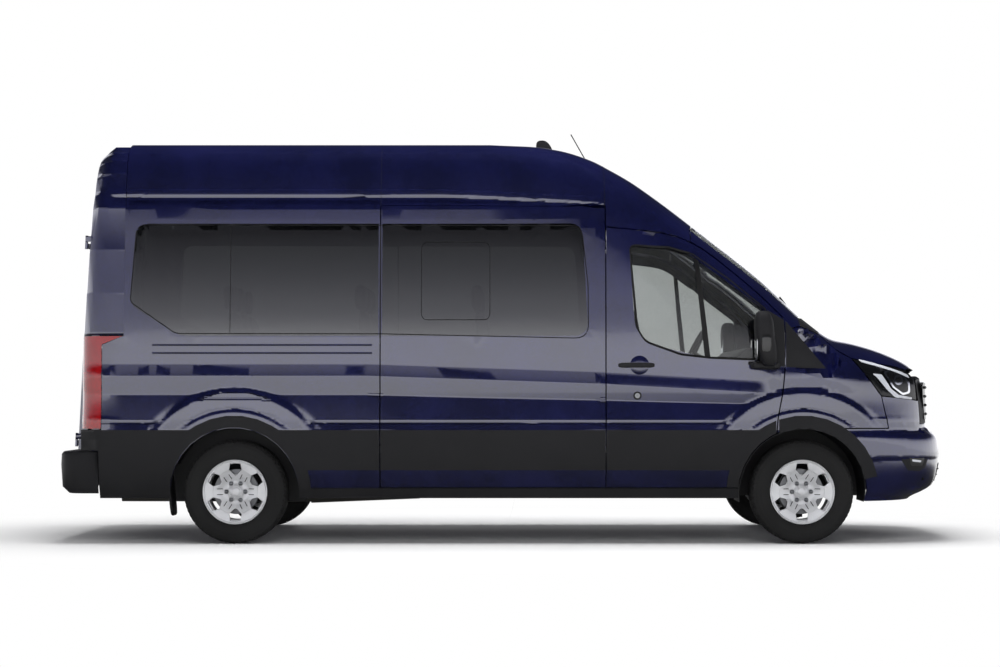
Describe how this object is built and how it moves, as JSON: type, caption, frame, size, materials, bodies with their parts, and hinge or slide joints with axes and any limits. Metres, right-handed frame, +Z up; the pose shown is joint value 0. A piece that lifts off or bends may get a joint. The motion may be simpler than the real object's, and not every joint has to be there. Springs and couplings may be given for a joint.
{
  "type": "passenger minibus",
  "caption": "High-roof passenger minibus with hinged cab doors, rear doors and bonnet, a sliding side door, steering front wheels and rows of seats.",
  "frame": {"origin": "on the ground under the middle of the vehicle's bounding box", "axes": "+X towards the front, +Y towards the vehicle's left, +Z up"},
  "size_m": [5.9786, 2.47, 2.8317],
  "materials": {
    "paint": "gloss metallic",
    "black_plastic": "fine grain",
    "dark_glass": "dark tint",
    "clear_glass": "light tint",
    "lamp_lens": "clear lens",
    "red_lens": "red lens",
    "rubber": "tread",
    "alloy": "silver lacquer",
    "iron": "satin black coat",
    "cloth": "woven"
  },
  "bodies": {
    "front_door_right": {"front_door_right": "paint", "front_door_glass_right": "clear_glass", "front_door_moulding_right": "black_plastic", "mirror_right": "black_plastic"},
    "front_door_left": {"front_door_left": "paint", "front_door_glass_left": "clear_glass", "front_door_moulding_left": "black_plastic", "mirror_left": "black_plastic"},
    "vehicle": {"sliding_door": "paint", "sliding_door_glass": "dark_glass", "sliding_door_moulding": "black_plastic", "side_wall_right": "paint", "side_glass_right": "dark_glass", "side_wall_left": "paint", "side_glass_left": "dark_glass", "lower_trim_right": "black_plastic", "lower_trim_left": "black_plastic", "roof": "paint", "windscreen": "clear_glass", "a_pillar_right": "paint", "a_pillar_left": "paint", "cowl": "black_plastic", "wing_right": "paint", "wing_left": "paint", "headlamp_right": "lamp_lens", "headlamp_left": "lamp_lens", "grille": "black_plastic", "front_bumper": "paint", "rear_frame": "paint", "tail_lamp_right": "red_lens", "tail_lamp_left": "red_lens", "rear_bumper": "black_plastic", "underbody": "iron", "front_arch_right": "black_plastic", "front_arch_left": "black_plastic", "front_subframe": "iron", "rear_axle": "iron", "engine": "iron", "exhaust": "iron", "driver_seat": "cloth", "passenger_bench": "cloth", "passenger_seats": "cloth", "dashboard": "black_plastic", "antenna": "black_plastic"},
    "bonnet": {"bonnet": "paint"},
    "rear_door_right": {"rear_door_right": "paint", "rear_door_glass_right": "dark_glass"},
    "rear_door_left": {"rear_door_left": "paint", "rear_door_glass_left": "dark_glass"},
    "knuckle_right": {"knuckle_right": "iron"},
    "knuckle_left": {"knuckle_left": "iron"},
    "wheel_front_right": {"rim_front_right": "alloy", "tyre_front_right": "rubber"},
    "wheel_front_left": {"rim_front_left": "alloy", "tyre_front_left": "rubber"},
    "wheel_rear_right": {"rim_rear_right": "alloy", "tyre_rear_right": "rubber"},
    "wheel_rear_left": {"rim_rear_left": "alloy", "tyre_rear_left": "rubber"}
  },
  "joints": [
    {"name": "front_door_right_hinge", "type": "hinge", "parent": "vehicle", "child": "front_door_right", "pos_m": [1.84, -1.01585, 0.753], "axis": [0, 0, 1], "range_deg": [0, 65]},
    {"name": "front_door_left_hinge", "type": "hinge", "parent": "vehicle", "child": "front_door_left", "pos_m": [1.84, 1.01585, 0.753], "axis": [0, 0, -1], "range_deg": [0, 65]},
    {"name": "bonnet_hinge", "type": "hinge", "parent": "vehicle", "child": "bonnet", "pos_m": [2.035, 0, 1.41518], "axis": [0, -1, 0], "range_deg": [0, 50]},
    {"name": "rear_door_right_hinge", "type": "hinge", "parent": "vehicle", "child": "rear_door_right", "pos_m": [-2.817, -0.862, 1.375], "axis": [0.0499, 0, 0.9988], "range_deg": [0, 180]},
    {"name": "rear_door_left_hinge", "type": "hinge", "parent": "vehicle", "child": "rear_door_left", "pos_m": [-2.817, 0.862, 1.375], "axis": [-0.0499, 0, -0.9988], "range_deg": [0, 180]},
    {"name": "steer_right", "type": "hinge", "parent": "vehicle", "child": "knuckle_right", "pos_m": [1.967, -0.8, 0.343], "axis": [0, 0, 1], "range_deg": [-35, 35]},
    {"name": "steer_left", "type": "hinge", "parent": "vehicle", "child": "knuckle_left", "pos_m": [1.967, 0.8, 0.343], "axis": [0, 0, 1], "range_deg": [-35, 35]},
    {"name": "wheel_front_right_spin", "type": "hinge", "parent": "knuckle_right", "child": "wheel_front_right", "pos_m": [1.967, -0.87, 0.343], "axis": [0, 1, 0], "continuous": true},
    {"name": "wheel_front_left_spin", "type": "hinge", "parent": "knuckle_left", "child": "wheel_front_left", "pos_m": [1.967, 0.87, 0.343], "axis": [0, 1, 0], "continuous": true},
    {"name": "wheel_rear_right_spin", "type": "hinge", "parent": "vehicle", "child": "wheel_rear_right", "pos_m": [-1.783, -0.87, 0.343], "axis": [0, 1, 0], "continuous": true},
    {"name": "wheel_rear_left_spin", "type": "hinge", "parent": "vehicle", "child": "wheel_rear_left", "pos_m": [-1.783, 0.87, 0.343], "axis": [0, 1, 0], "continuous": true}
  ],
  "couplings": [
    {"joint": "steer_left", "follows": "steer_right", "ratio": 1}
  ]
}
